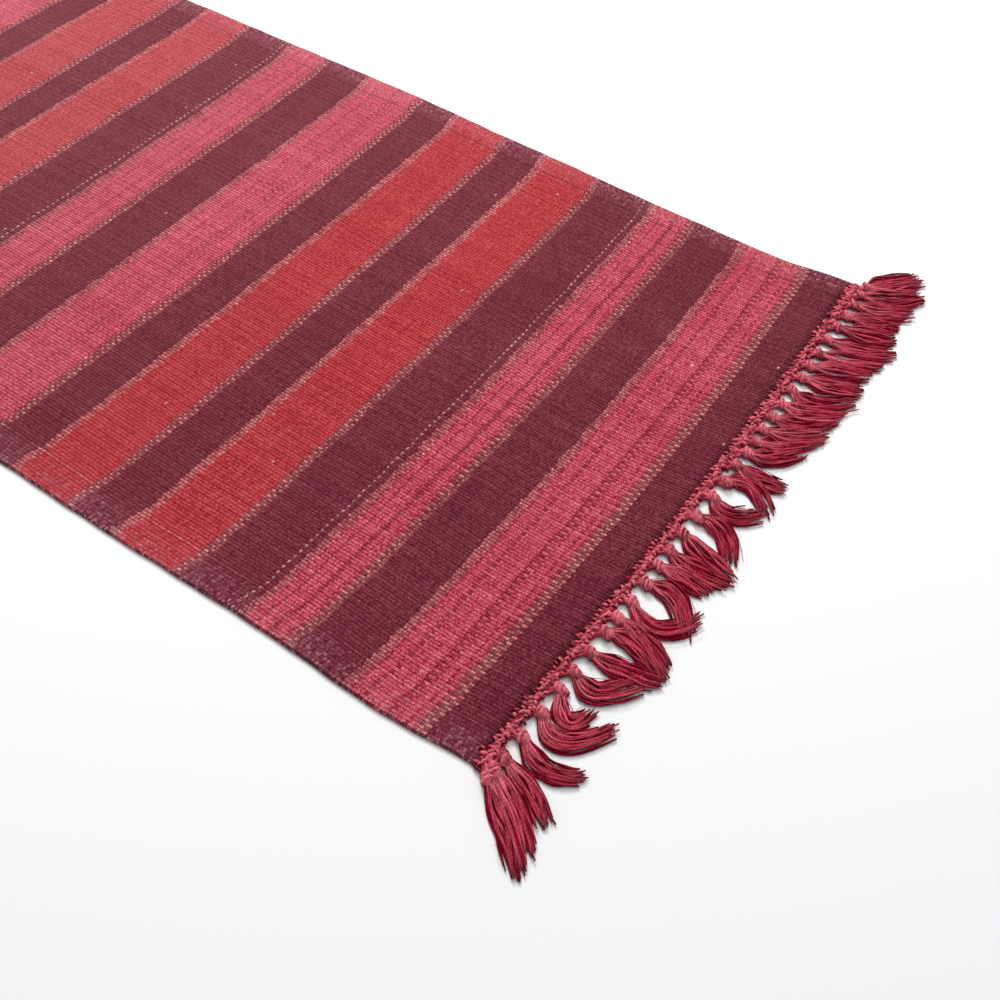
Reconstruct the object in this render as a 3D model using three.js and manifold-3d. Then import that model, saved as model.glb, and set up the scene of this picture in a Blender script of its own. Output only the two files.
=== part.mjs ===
// Flatweave rug: a striped cloth with raised selvedges, and a knotted fringe at each end.
// Millimetres, Z up. The rug lies on the plane z = 0, X runs across it and Y along it.
import * as THREE from "three";
import { mergeVertices } from "three/addons/utils/BufferGeometryUtils.js";
import Module from "manifold-3d";

const CLOTH_WIDTH = 650;
const CLOTH_LENGTH = 1300;
const CLOTH_THICKNESS = 3;
const END_BOW = 6;
const SELVEDGE_WIDTH = 26;
const SELVEDGE_RISE = 0.5;
const SELVEDGE_SHOULDER = 4;
const FIELD_COLUMNS = 6;
const CLOTH_ROWS = 20;

const FRINGE_CLEARANCE = 0.3;
const HEADING_DEPTH = 6.5;
const HEADING_HEIGHT = 3.4;
const HEADING_RIDGE = 1;
const HEADING_OUTER_HEIGHT = 2.8;
const HEADING_HALF_STEP = 5;

const KNOT_OUT = 13;
const KNOT_WIDTH = 11;
const KNOT_HEIGHT = 8;
const KNOT_HALF_LENGTH = 3;
const NECK_WIDTH = 7;
const NECK_HEIGHT = 1.8;
const COLLAR_OUT = 8;
const THROAT_WIDTH = 10.5;
const THROAT_HEIGHT = 3.4;
const THROAT_OUT = 6.5;
const ROOT_LIFT = 0.5;

const STRANDS_IN_TASSEL = 3;
const NEAR_STRAND_SEGMENTS = 4;
const FAR_STRAND_SEGMENTS = 3;

// How far each long side lies outside its straight line, at places along the rug.
const SIDE_WANDER = [
  { along: 0, left: -1, right: 3 },
  { along: 80, left: 4.5, right: -6 },
  { along: 200, left: 1.5, right: -5 },
  { along: 390, left: 4, right: -0.5 },
  { along: 560, left: 3, right: 4 },
  { along: 820, left: 0, right: 2 },
  { along: 1060, left: 2, right: -2 },
  { along: 1300, left: -1, right: 2 },
];

// The strands of a tassel from its knot to its tips: side-to-side pitch, size and lift off the floor.
const STRAND_COURSE = [
  { reach: 0, pitch: 2.1, width: 1.8, height: 1.8, lift: 0.5 },
  { reach: 0.3, pitch: 4.1, width: 3.4, height: 2.8, lift: 0 },
  { reach: 0.75, pitch: 4.2, width: 3, height: 2.4, lift: 0 },
  { reach: 1, pitch: 3.8, width: 2, height: 1.6, lift: 0 },
];

// The lie of each tassel: places across the rug, and distances out from the corners of the cloth.
const NEAR_TASSELS = [
  { root: -317, knot: -327, middle: -346, middleOut: 41, tip: -371, tipOut: 71 },
  { root: -304, knot: -307, middle: -317, middleOut: 43, tip: -334, tipOut: 69 },
  { root: -284, knot: -285, middle: -294, middleOut: 43, tip: -290, tipOut: 70 },
  { root: -260, knot: -260, middle: -270, middleOut: 40, tip: -256, tipOut: 66 },
  { root: -237, knot: -235, middle: -247, middleOut: 33, tip: -238, tipOut: 49 },
  { root: -217, knot: -216, middle: -219, middleOut: 40, tip: -203, tipOut: 62 },
  { root: -195, knot: -194, middle: -194, middleOut: 46, tip: -189, tipOut: 75 },
  { root: -172, knot: -171, middle: -172, middleOut: 44, tip: -175, tipOut: 76 },
  { root: -154, knot: -154, middle: -157, middleOut: 46, tip: -161, tipOut: 74 },
  { root: -133, knot: -134, middle: -141, middleOut: 46, tip: -134, tipOut: 72 },
  { root: -111, knot: -112, middle: -112, middleOut: 42, tip: -119, tipOut: 70 },
  { root: -91, knot: -91, middle: -92, middleOut: 42, tip: -93, tipOut: 65 },
  { root: -72, knot: -72, middle: -75, middleOut: 43, tip: -75, tipOut: 76 },
  { root: -50, knot: -50, middle: -55, middleOut: 40, tip: -60, tipOut: 73 },
  { root: -26, knot: -27, middle: -29, middleOut: 42, tip: -41, tipOut: 66 },
  { root: 0, knot: 0, middle: -9, middleOut: 38, tip: 0, tipOut: 61 },
  { root: 20, knot: 21, middle: 28, middleOut: 40, tip: 20, tipOut: 66 },
  { root: 43, knot: 44, middle: 45, middleOut: 41, tip: 48, tipOut: 66 },
  { root: 60, knot: 62, middle: 68, middleOut: 38, tip: 85, tipOut: 58 },
  { root: 76, knot: 78, middle: 88, middleOut: 40, tip: 109, tipOut: 65 },
  { root: 94, knot: 95, middle: 106, middleOut: 44, tip: 127, tipOut: 67 },
  { root: 113, knot: 114, middle: 124, middleOut: 43, tip: 146, tipOut: 66 },
  { root: 132, knot: 134, middle: 142, middleOut: 43, tip: 161, tipOut: 67 },
  { root: 154, knot: 155, middle: 160, middleOut: 43, tip: 177, tipOut: 69 },
  { root: 174, knot: 175, middle: 182, middleOut: 46, tip: 195, tipOut: 71 },
  { root: 193, knot: 194, middle: 203, middleOut: 46, tip: 215, tipOut: 69 },
  { root: 213, knot: 214, middle: 223, middleOut: 46, tip: 236, tipOut: 69 },
  { root: 234, knot: 236, middle: 243, middleOut: 46, tip: 256, tipOut: 74 },
  { root: 256, knot: 258, middle: 266, middleOut: 46, tip: 277, tipOut: 67 },
  { root: 276, knot: 278, middle: 287, middleOut: 42, tip: 300, tipOut: 63 },
  { root: 294, knot: 297, middle: 308, middleOut: 42, tip: 321, tipOut: 66 },
  { root: 307, knot: 314, middle: 327, middleOut: 40, tip: 344, tipOut: 66 },
  { root: 320, knot: 331, middle: 352, middleOut: 29, tip: 376, tipOut: 53 },
];

const wool = (color) => new THREE.MeshStandardMaterial({ color, roughness: 0.9, metalness: 0 });

const wasm = await Module();
wasm.setup();

// Value of one column of a table at a place on its key column, eased from row to row.
function tableValue(table, key, place, column) {
  const next = table.findIndex((row) => row[key] >= place);
  if (next === 0) {
    return table[0][column];
  }
  if (next < 0) {
    return table[table.length - 1][column];
  }
  const from = table[next - 1];
  const to = table[next];
  const share = THREE.MathUtils.smoothstep(place, from[key], to[key]);
  return THREE.MathUtils.lerp(from[column], to[column], share);
}

const leftSide = (along) => -CLOTH_WIDTH / 2 - tableValue(SIDE_WANDER, "along", along, "left");
const rightSide = (along) => CLOTH_WIDTH / 2 + tableValue(SIDE_WANDER, "along", along, "right");

// How far the woven end bulges past the cloth's corners at a place across it.
const endBulge = (across) => END_BOW * Math.max(0, 1 - (2 * across / CLOTH_WIDTH) ** 2);

// Shares of the width at which the cloth has a column of points: fine over each selvedge's shoulder.
function clothColumns() {
  const inner = SELVEDGE_WIDTH / CLOTH_WIDTH;
  const shoulder = (SELVEDGE_WIDTH + SELVEDGE_SHOULDER) / CLOTH_WIDTH;
  const columns = [0, inner];
  for (let i = 0; i <= FIELD_COLUMNS; i += 1) {
    columns.push(THREE.MathUtils.lerp(shoulder, 1 - shoulder, i / FIELD_COLUMNS));
  }
  columns.push(1 - inner, 1);
  return columns;
}

// The cloth starts as a box with rows and columns, which are moved to its outline and thickness.
function clothGeometry() {
  const columns = clothColumns();
  const lastColumn = columns.length - 1;
  const geometry = new THREE.BoxGeometry(1, 1, 1, lastColumn, CLOTH_ROWS, 1);
  const points = geometry.getAttribute("position");
  const cornerLength = CLOTH_LENGTH - 2 * END_BOW;
  for (let i = 0; i < points.count; i += 1) {
    const column = Math.round((points.getX(i) + 0.5) * lastColumn);
    const endShare = 2 * points.getY(i);
    const along = (points.getY(i) + 0.5) * CLOTH_LENGTH;
    const x = THREE.MathUtils.lerp(leftSide(along), rightSide(along), columns[column]);
    const y = endShare * (cornerLength / 2 + endBulge(x));
    const onSelvedge = column < 2 || column > lastColumn - 2;
    const top = CLOTH_THICKNESS + (onSelvedge ? SELVEDGE_RISE : 0);
    points.setXYZ(i, x, y, points.getZ(i) > 0 ? top : 0);
  }
  return geometry;
}

// Closed solid through a row of convex rings, whose points go round in the same order.
function solidThroughRings(rings) {
  const sides = rings[0].length;
  const last = (rings.length - 1) * sides;
  const triangles = [];
  for (let r = 0; r + 1 < rings.length; r += 1) {
    for (let s = 0; s < sides; s += 1) {
      const a = r * sides + s;
      const b = r * sides + (s + 1) % sides;
      triangles.push(a, b, b + sides, a, b + sides, a + sides);
    }
  }
  for (let s = 1; s + 1 < sides; s += 1) {
    triangles.push(0, s + 1, s, last, last + s, last + s + 1);
  }
  const geometry = new THREE.BufferGeometry().setFromPoints(rings.flat());
  geometry.setIndex(triangles);
  return geometry;
}

function manifoldOf(geometry) {
  const bare = geometry.clone();
  bare.deleteAttribute("normal");
  bare.deleteAttribute("uv");
  const merged = mergeVertices(bare);
  const vertProperties = new Float32Array(merged.getAttribute("position").array);
  const triVerts = new Uint32Array(merged.getIndex().array);
  return new wasm.Manifold(new wasm.Mesh({ numProp: 3, vertProperties, triVerts }));
}

function geometryOf(manifold) {
  const mesh = manifold.getMesh();
  const geometry = new THREE.BufferGeometry();
  geometry.setAttribute("position", new THREE.BufferAttribute(mesh.vertProperties, 3));
  geometry.setIndex(new THREE.BufferAttribute(mesh.triVerts, 1));
  return geometry;
}

// The heading is a low bar along the woven end, ridged on top by the turns of its twined yarn.
function headingGeometry(tassels, left, right) {
  const steps = tassels.flatMap(({ root }) => [root - HEADING_HALF_STEP, root + HEADING_HALF_STEP]);
  const rings = [left, ...steps, right].map((x, i) => {
    const inner = -endBulge(x) - FRINGE_CLEARANCE;
    const outer = inner - HEADING_DEPTH;
    return [
      new THREE.Vector3(x, inner, 0),
      new THREE.Vector3(x, inner, HEADING_HEIGHT + (i % 2) * HEADING_RIDGE),
      new THREE.Vector3(x, outer, HEADING_OUTER_HEIGHT),
      new THREE.Vector3(x, outer, 0),
    ];
  });
  return solidThroughRings(rings);
}

// Middle of a tassel's knot.
const knotPoint = (tassel) => new THREE.Vector3(tassel.knot, -endBulge(tassel.knot) - KNOT_OUT, 0);

// Five-sided ring across a tassel, with its lowest side at the height of its foot.
function knotRing(centre, side, width, height, foot) {
  const corners = [
    { across: -0.45, up: 0 },
    { across: -0.5, up: 0.6 },
    { across: 0, up: 1 },
    { across: 0.5, up: 0.6 },
    { across: 0.45, up: 0 },
  ];
  return corners.map((corner) => {
    const point = centre.clone().addScaledVector(side, corner.across * width);
    return point.setZ(foot + corner.up * height);
  });
}

// The neck comes out of the heading, swells to the knot and closes to the throat of the strands.
function knotGeometry(tassel) {
  const heading = new THREE.Vector3(tassel.root, -endBulge(tassel.root), 0);
  const knot = knotPoint(tassel);
  const out = knot.clone().sub(heading).normalize();
  const side = new THREE.Vector3(out.y, -out.x, 0);
  const at = (distance) => knot.clone().addScaledVector(out, distance);
  const root = heading.clone().addScaledVector(out, HEADING_DEPTH / 2);
  const collar = heading.clone().addScaledVector(out, COLLAR_OUT);
  return solidThroughRings([
    knotRing(root, side, NECK_WIDTH, NECK_HEIGHT, ROOT_LIFT),
    knotRing(collar, side, NECK_WIDTH, NECK_HEIGHT, ROOT_LIFT),
    knotRing(at(-KNOT_HALF_LENGTH), side, KNOT_WIDTH, KNOT_HEIGHT, 0),
    knotRing(at(KNOT_HALF_LENGTH), side, KNOT_WIDTH, KNOT_HEIGHT, 0),
    knotRing(at(THROAT_OUT), side, THROAT_WIDTH, THROAT_HEIGHT, 0),
  ]);
}

// One three-sided strand along its tassel's curve, from inside the knot to its tip on the floor.
function strandGeometry(tassel, number, segments) {
  const curve = new THREE.CatmullRomCurve3([
    knotPoint(tassel),
    new THREE.Vector3(tassel.middle, -tassel.middleOut, 0),
    new THREE.Vector3(tassel.tip, -tassel.tipOut, 0),
  ]);
  const place = number - (STRANDS_IN_TASSEL - 1) / 2;
  const rings = [];
  for (let i = 0; i <= segments; i += 1) {
    const reach = i / segments;
    const course = (column) => tableValue(STRAND_COURSE, "reach", reach, column);
    const along = curve.getTangent(reach);
    const side = new THREE.Vector3(along.y, -along.x, 0);
    const centre = curve.getPoint(reach).addScaledVector(side, place * course("pitch"));
    centre.setZ(course("lift"));
    rings.push([
      centre.clone().addScaledVector(side, -course("width") / 2),
      centre.clone().setZ(course("lift") + course("height")),
      centre.clone().addScaledVector(side, course("width") / 2),
    ]);
  }
  return solidThroughRings(rings);
}

// One fringe, with the cloth's corners on y = 0: the heading with every knot and strand joined to it.
function fringeGeometry(tassels, left, right, strandSegments) {
  let fringe = manifoldOf(headingGeometry(tassels, left, right));
  for (const tassel of tassels) {
    fringe = fringe.add(manifoldOf(knotGeometry(tassel)));
    for (let number = 0; number < STRANDS_IN_TASSEL; number += 1) {
      fringe = fringe.add(manifoldOf(strandGeometry(tassel, number, strandSegments)));
    }
  }
  return geometryOf(fringe);
}

// The tassels of the far end lie more evenly, with a slow sway from side to side.
function farTassels() {
  const count = NEAR_TASSELS.length;
  const span = CLOTH_WIDTH - 2 * KNOT_WIDTH;
  return NEAR_TASSELS.map((_, i) => {
    const root = span * (i / (count - 1) - 0.5);
    const sway = 10 * Math.sin(0.45 * i) + 1.5 * Math.sin(2.3 * i);
    return {
      root,
      knot: root + 0.1 * sway,
      middle: root + 0.3 * sway + 2 * Math.sin(1.1 * i),
      middleOut: 43,
      tip: root + sway,
      tipOut: 69 + 4 * Math.sin(1.7 * i),
    };
  });
}

const cloth = new THREE.Mesh(clothGeometry(), wool(0x8f3b44));
cloth.name = "woven_cloth";

const nearFringe = new THREE.Mesh(
  fringeGeometry(NEAR_TASSELS, leftSide(0), rightSide(0), NEAR_STRAND_SEGMENTS),
  wool(0xa63a4e),
);
nearFringe.name = "near_fringe";
nearFringe.position.y = END_BOW - CLOTH_LENGTH / 2;

const farLeft = -rightSide(CLOTH_LENGTH);
const farRight = -leftSide(CLOTH_LENGTH);
const farFringe = new THREE.Mesh(
  fringeGeometry(farTassels(), farLeft, farRight, FAR_STRAND_SEGMENTS),
  wool(0xa63a4e),
);
farFringe.name = "far_fringe";
farFringe.position.y = CLOTH_LENGTH / 2 - END_BOW;
farFringe.rotation.z = Math.PI;

const rug = new THREE.Group();
rug.add(cloth, nearFringe, farFringe);

export default rug;
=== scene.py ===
# %% [markdown]
# # A striped flatweave rug with knotted fringes
# The rug is a weft-faced cloth. Lengthwise warps are hidden by crosswise wefts that are beaten down
# tight, so its face is a field of fine ribs, one over each warp. The wefts change colour to make the
# stripes, and the warps come out at both ends as a fringe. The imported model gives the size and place
# of the cloth and of each fringe, and the cells below dress it in the same metres.

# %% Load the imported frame
import math

import bpy
import numpy as np
from mathutils import Matrix, Vector


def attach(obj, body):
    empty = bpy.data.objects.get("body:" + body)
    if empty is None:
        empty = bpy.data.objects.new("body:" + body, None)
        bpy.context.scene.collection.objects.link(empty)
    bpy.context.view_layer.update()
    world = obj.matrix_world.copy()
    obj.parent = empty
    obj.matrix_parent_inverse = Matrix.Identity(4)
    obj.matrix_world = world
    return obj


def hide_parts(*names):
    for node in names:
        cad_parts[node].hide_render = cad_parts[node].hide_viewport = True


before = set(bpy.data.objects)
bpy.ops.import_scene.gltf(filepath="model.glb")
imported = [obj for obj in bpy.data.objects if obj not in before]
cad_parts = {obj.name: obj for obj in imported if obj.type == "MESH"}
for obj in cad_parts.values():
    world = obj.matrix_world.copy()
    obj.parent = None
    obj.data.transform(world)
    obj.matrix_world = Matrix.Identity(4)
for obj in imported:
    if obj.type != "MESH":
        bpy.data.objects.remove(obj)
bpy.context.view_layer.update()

# %% [markdown]
# ## Tables and easing
# A handwoven edge wanders a little. A short table with a row for each place and an S-curve between
# rows describes that better than a long list of points, and numpy can read it for whole arrays.

# %% Read a table with eased steps
MM = 0.001


def table(columns, rows, unit=MM):
    """Columns of a table by name, as arrays in metres."""
    return dict(zip(columns.split(), unit * np.array(rows, float).T))


def ease(share):
    """S-curve from 0 to 1: 3 s squared less 2 s cubed, held flat outside."""
    share = np.clip(share, 0, 1)
    return share * share * (3 - 2 * share)


def eased(rows, key, column, place):
    """Value of a column at each place: neighbouring rows joined by S-curves."""
    keys, values = rows[key], rows[column]
    row = np.clip(np.searchsorted(keys, place, side="right") - 1, 0, len(keys) - 2)
    share = ease((place - keys[row]) / (keys[row + 1] - keys[row]))
    return values[row] + share * (values[row + 1] - values[row])


print("an eased step at a quarter of the way:", round(float(ease(0.25)), 3))

# %% [markdown]
# ## The cloth's own coordinates
# Cloth is easiest to describe by its threads: the number of the warp across, and the distance along
# the warp. A point's place on the floor then follows from how the weaver beat the wefts. They smile:
# each weft lies furthest back at the middle of the rug and is pulled forward at the selvedges.

# %% Sizes of the cloth and the lie of its threads
CLOTH_WIDTH = 650 * MM
CLOTH_LENGTH = 1300 * MM
CLOTH_THICKNESS = 3 * MM
END_BOW = 6 * MM
RIBS = 192
SELVEDGE_RIBS = 8
SELVEDGE_RISE = 0.4 * MM
SELVEDGE_LIFT_WIDTH = 45 * MM
EDGE_UNEVEN = 0.4 * MM

SIDE_WANDER = table("along left right", [
    (0, -1, 3),
    (80, 4.5, -6),
    (200, 1.5, -5),
    (390, 4, -0.5),
    (560, 3, 4),
    (820, 0, 2),
    (1060, 2, -2),
    (1300, -1, 2),
])

WEFT_LIE = table("along bow lift", [
    (0, 6, 0),
    (45, 10, 2),
    (130, 8, 4),
    (300, 4, 6),
    (700, 4, 5),
    (1000, 0, 2),
    (1300, -6, 0),
])


def drawn_in(along):
    """Small unevenness of an edge, where some wefts turn tighter: a product of two sines."""
    return EDGE_UNEVEN * np.sin(along / (8.7 * MM)) * np.sin(along / (29 * MM))


def left_side(along):
    """Place of the left edge: half the width to the left, and what it wanders outwards."""
    return -CLOTH_WIDTH / 2 - eased(SIDE_WANDER, "along", "left", along) + drawn_in(along)


def right_side(along):
    """Place of the right edge: half the width to the right, and what it wanders outwards."""
    return CLOTH_WIDTH / 2 + eased(SIDE_WANDER, "along", "right", along) + drawn_in(along + 70 * MM)


def weft_place(across, along):
    """Y of a weft: its distance along the middle, bowed by the square of the place across, and
    lifted by an S-curve near each selvedge."""
    bow = eased(WEFT_LIE, "along", "bow", along) * (2 * across / CLOTH_WIDTH) ** 2
    from_edge = CLOTH_WIDTH / 2 - np.abs(across)
    lift = eased(WEFT_LIE, "along", "lift", along) * ease(1 - from_edge / SELVEDGE_LIFT_WIDTH)
    return along - CLOTH_LENGTH / 2 + bow + lift


print("edges at the near end:", left_side(np.array([0.0])), right_side(np.array([0.0])))

# %% [markdown]
# ## The ribbed face
# A bump map could draw the ribs, but real ribs catch light at low angles and give the ends of the
# cloth their toothed line, so they are in the mesh: four columns of points to a rib. The picks that
# cross them are finer than the mesh can carry and stay in the material. A second map of points, made
# of the warp number and the millimetres along, tells the material which thread it is on.

# %% Build the cloth as a grid of warps and wefts
COLUMNS_PER_RIB = 4
CLOTH_ROWS = 112
RIB_DEPTH = 0.38 * MM
RIB_WANDER = 0.7 * MM
SLOW_UNEVEN = 0.25 * MM
SELVEDGE_FILL = 0.25 * MM
CORD_RADIUS = 1.5 * MM
FLOOR_CLEARANCE = 0.2 * MM


def rib_profile(warp):
    """Height across the ribs, from 0 in a groove to 1 on a crest: a root of a half sine a rib."""
    return np.abs(np.sin(np.pi * warp)) ** 0.7


def cloth_points(warp, along):
    """Face of the cloth: edge to edge by warp number, along by the weft's lie, and up by the
    thickness less the grooves, with a raised selvedge and a slow unevenness."""
    share = warp / RIBS
    left, right = left_side(along) + CORD_RADIUS, right_side(along) - CORD_RADIUS
    wander = RIB_WANDER * np.sin(23 * along + 0.31 * warp) * np.sin(np.pi * share)
    x = left + share * (right - left) + wander
    y = weft_place(x, along)
    rib = np.floor(warp)
    unlike = 0.12 * MM * np.cos(np.pi * rib) + 0.1 * MM * np.sin(2.9 * rib)
    in_selvedge = ease((np.abs(warp - RIBS / 2) - RIBS / 2 + SELVEDGE_RIBS) / 1.5)
    uneven = SLOW_UNEVEN * (np.sin(9 * x + 17 * y) + np.sin(31 * x - 11 * y))
    groove = (RIB_DEPTH - SELVEDGE_FILL * in_selvedge) * (1 - rib_profile(warp))
    z = CLOTH_THICKNESS + SELVEDGE_RISE * in_selvedge + uneven + unlike * rib_profile(warp) - groove
    return np.stack([x, y, z], axis=-1)


def link(name, mesh):
    """Puts a mesh in the scene at the origin."""
    made = bpy.data.objects.new(name, mesh)
    bpy.context.scene.collection.objects.link(made)
    return made


def cloth_piece():
    """Closed sheet: the ribbed face, a plain back, and the four edges between them."""
    warp, along = np.meshgrid(
        np.linspace(0, RIBS, RIBS * COLUMNS_PER_RIB + 1),
        np.linspace(0, CLOTH_LENGTH, CLOTH_ROWS + 1),
    )
    face = cloth_points(warp, along)
    back = face[:, [0, -1]].copy()
    back[:, :, 2] = FLOOR_CLEARANCE
    rows, columns = warp.shape
    number = np.arange(rows * columns).reshape(rows, columns)
    under = rows * columns + np.arange(2 * rows).reshape(rows, 2)
    corners = [number[:-1, :-1], number[:-1, 1:], number[1:, 1:], number[1:, :-1]]
    quads = np.stack(corners, axis=-1).reshape(-1, 4)
    backs = np.stack([under[:-1, 0], under[1:, 0], under[1:, 1], under[:-1, 1]], axis=-1)
    lefts = np.stack([number[:-1, 0], number[1:, 0], under[1:, 0], under[:-1, 0]], axis=-1)
    rights = np.stack([number[:-1, -1], under[:-1, 1], under[1:, 1], number[1:, -1]], axis=-1)
    near_face = [under[0, 1], *number[0, ::-1], under[0, 0]]
    far_face = [under[-1, 0], *number[-1], under[-1, 1]]
    faces = np.concatenate([quads, backs, lefts, rights]).tolist()
    faces += [[int(i) for i in near_face], [int(i) for i in far_face]]
    mesh = bpy.data.meshes.new("rug_cloth")
    mesh.from_pydata(np.concatenate([face.reshape(-1, 3), back.reshape(-1, 3)]).tolist(), [], faces)
    mesh.polygons.foreach_set("use_smooth", np.arange(len(faces)) < len(quads))
    threads = np.stack([warp, along / MM], axis=-1)
    threads = np.concatenate([threads.reshape(-1, 2), threads[:, [0, -1]].reshape(-1, 2)])
    corner = np.empty(len(mesh.loops), np.int32)
    mesh.loops.foreach_get("vertex_index", corner)
    mesh.uv_layers.new(name="threads").data.foreach_set("uv", threads[corner].ravel())
    return link("rug_cloth", mesh)


cloth = cloth_piece()
cloth_top = max(corner[2] for corner in cloth.bound_box)
print("cloth:", len(cloth.data.polygons), "faces, top at", round(cloth_top, 5))

# %% [markdown]
# ## Tubes, many at a time
# Everything else on the rug is yarn. A yarn is a round profile carried along a path, and there are
# hundreds, so one helper takes all paths of a piece as a single array and returns one mesh. Each tube
# also keeps the distance along it, the turn around it, a tone of its own and how near its tip it is,
# because the dye is uneven and the ends fade.

# %% A helper that sweeps rings along paths
UP = np.array([0.0, 0.0, 1.0])


def tubes(name, paths, radii, tones, fade=0.0):
    """One mesh of closed tubes. At each station of a path a ring stands square to it: the radius
    times cosine to its side plus sine upwards. paths is tubes by stations by 3, radii is tubes by
    stations by sides, and fade is how worn the tips are."""
    count, stations, sides = radii.shape
    ahead = np.gradient(paths, axis=1)
    ahead /= np.linalg.norm(ahead, axis=2, keepdims=True)
    side = np.cross(ahead, UP)
    side /= np.linalg.norm(side, axis=2, keepdims=True)
    rise = np.cross(side, ahead)
    angle = 2 * np.pi * np.arange(sides)[:, None] / sides
    ring = np.cos(angle) * side[:, :, None] + np.sin(angle) * rise[:, :, None]
    points = paths[:, :, None] + radii[..., None] * ring

    number = np.arange(count * stations * sides).reshape(count, stations, sides)
    turned = np.roll(number, -1, axis=2)
    quads = np.stack([number[:, :-1], number[:, 1:], turned[:, 1:], turned[:, :-1]], axis=-1)
    caps = np.concatenate([number[:, 0], number[:, -1, ::-1]])
    faces = quads.reshape(-1, 4).tolist() + caps.tolist()
    mesh = bpy.data.meshes.new(name)
    mesh.from_pydata(points.reshape(-1, 3).tolist(), [], faces)
    mesh.polygons.foreach_set("use_smooth", np.arange(len(faces)) < quads.size // 4)

    step = np.linalg.norm(np.diff(paths, axis=1), axis=2)
    run = np.concatenate([np.zeros((count, 1)), np.cumsum(step, axis=1)], axis=1) / MM
    along = np.stack([run[:, :-1], run[:, 1:], run[:, 1:], run[:, :-1]], axis=-1)
    turn = np.arange(sides) / sides
    around = np.stack([turn, turn, turn + 1 / sides, turn + 1 / sides], axis=-1)
    along, around = np.broadcast_arrays(along[:, :, None], around[None, None])
    threads = np.stack([along, around], axis=-1).reshape(-1, 2)
    threads = np.concatenate([threads, np.zeros((caps.size, 2))])
    mesh.uv_layers.new(name="threads").data.foreach_set("uv", threads.ravel())

    tone = np.broadcast_to(tones[:, None, None], radii.shape)
    tip = np.broadcast_to(fade * np.linspace(0, 1, stations)[None, :, None], radii.shape)
    for column, values in (("tone", tone), ("tip", tip)):
        mesh.attributes.new(column, "FLOAT", "POINT").data.foreach_set("value", values.ravel())
    return link(name, mesh)


# %% [markdown]
# ## Selvedge cords
# At each side the weft turns round a bundle of warps and makes a dark, firm cord. It is a tube whose
# radius swells once for each turn of the weft, and the swelling leans, as a wrapped yarn does.

# %% Wrap a cord along each long side
CORD_SIDES = 8
CORD_WRAP = 3.4 * MM
CORD_STATIONS = 2200


def selvedge_cords():
    """Two tubes along the cloth's edges, with radius times 1 plus a leaning ripple."""
    along = np.linspace(0, CLOTH_LENGTH, CORD_STATIONS)
    paths = []
    for edge in (left_side(along) + CORD_RADIUS, right_side(along) - CORD_RADIUS):
        height = np.full_like(along, CORD_RADIUS + FLOOR_CLEARANCE)
        paths.append(np.stack([edge, weft_place(edge, along), height], axis=-1))
    angle = 2 * np.pi * np.arange(CORD_SIDES) / CORD_SIDES
    ripple = 0.11 * np.cos(2 * np.pi * along[:, None] / CORD_WRAP - angle)
    radii = np.broadcast_to(CORD_RADIUS * (1 + ripple), (2, CORD_STATIONS, CORD_SIDES))
    return tubes("selvedge_cords", np.stack(paths), radii, np.array([0.4, 0.6]))


cords = selvedge_cords()
print("cords:", len(cords.data.polygons), "faces")

# %% [markdown]
# ## Where the tassels lie
# Each tassel leaves the woven end at its root, is tied in a knot, and lies on the floor as it fell.
# A table has a row for each: places across the rug and distances out from the cloth's corners. The
# path through knot, middle and tip is a quadratic, and hook bends the last part of it aside.

# %% The lie of the near tassels
TASSEL_COLUMNS = "root knot middle middle_out tip tip_out hook fan"
NEAR_TASSELS = table(TASSEL_COLUMNS, [
    (-318, -327, -346, 41, -374, 74, 0, 16),
    (-312, -319, -334, 43, -357, 72, 0, 15),
    (-304, -307, -317, 43, -333, 69, 0, 16),
    (-284, -285, -295, 43, -289, 70, 4, 15),
    (-260, -260, -268, 40, -248, 66, 9, 16),
    (-237, -235, -252, 34, -243, 47, 7, 14),
    (-217, -216, -218, 41, -199, 63, 6, 21),
    (-195, -194, -191, 47, -183, 76, 0, 19),
    (-172, -171, -166, 41, -177, 76, -3, 19),
    (-154, -154, -159, 47, -172, 74, 0, 16),
    (-133, -134, -142, 47, -124, 72, 8, 17),
    (-111, -112, -110, 43, -128, 71, -8, 17),
    (-91, -91, -88, 43, -90, 66, 0, 17),
    (-72, -72, -76, 43, -72, 76, 0, 18),
    (-50, -50, -56, 40, -65, 75, 0, 18),
    (-26, -27, -28, 43, -49, 66, -5, 20),
    (0, 0, -5, 38, 1, 62, 10, 18),
    (20, 21, 29, 37, 20, 67, -8, 19),
    (43, 44, 42, 41, 47, 66, 0, 20),
    (60, 62, 71, 40, 90, 59, 3, 20),
    (76, 78, 92, 41, 115, 66, 0, 22),
    (94, 95, 108, 46, 127, 66, 0, 24),
    (113, 114, 123, 43, 146, 66, 2, 25),
    (132, 134, 141, 43, 160, 68, 0, 25),
    (154, 155, 155, 43, 173, 70, 4, 25),
    (174, 175, 184, 47, 194, 72, 0, 25),
    (193, 194, 209, 47, 220, 70, 0, 25),
    (213, 214, 228, 47, 241, 70, 0, 25),
    (234, 236, 243, 47, 258, 75, 0, 25),
    (256, 258, 268, 47, 278, 68, 0, 25),
    (276, 278, 290, 43, 300, 62, 0, 25),
    (294, 297, 310, 43, 325, 66, 0, 25),
    (307, 314, 328, 41, 350, 65, 0, 28),
    (320, 328, 348, 31, 374, 55, 0, 27),
])
FAR_TASSELS = 33


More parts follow.
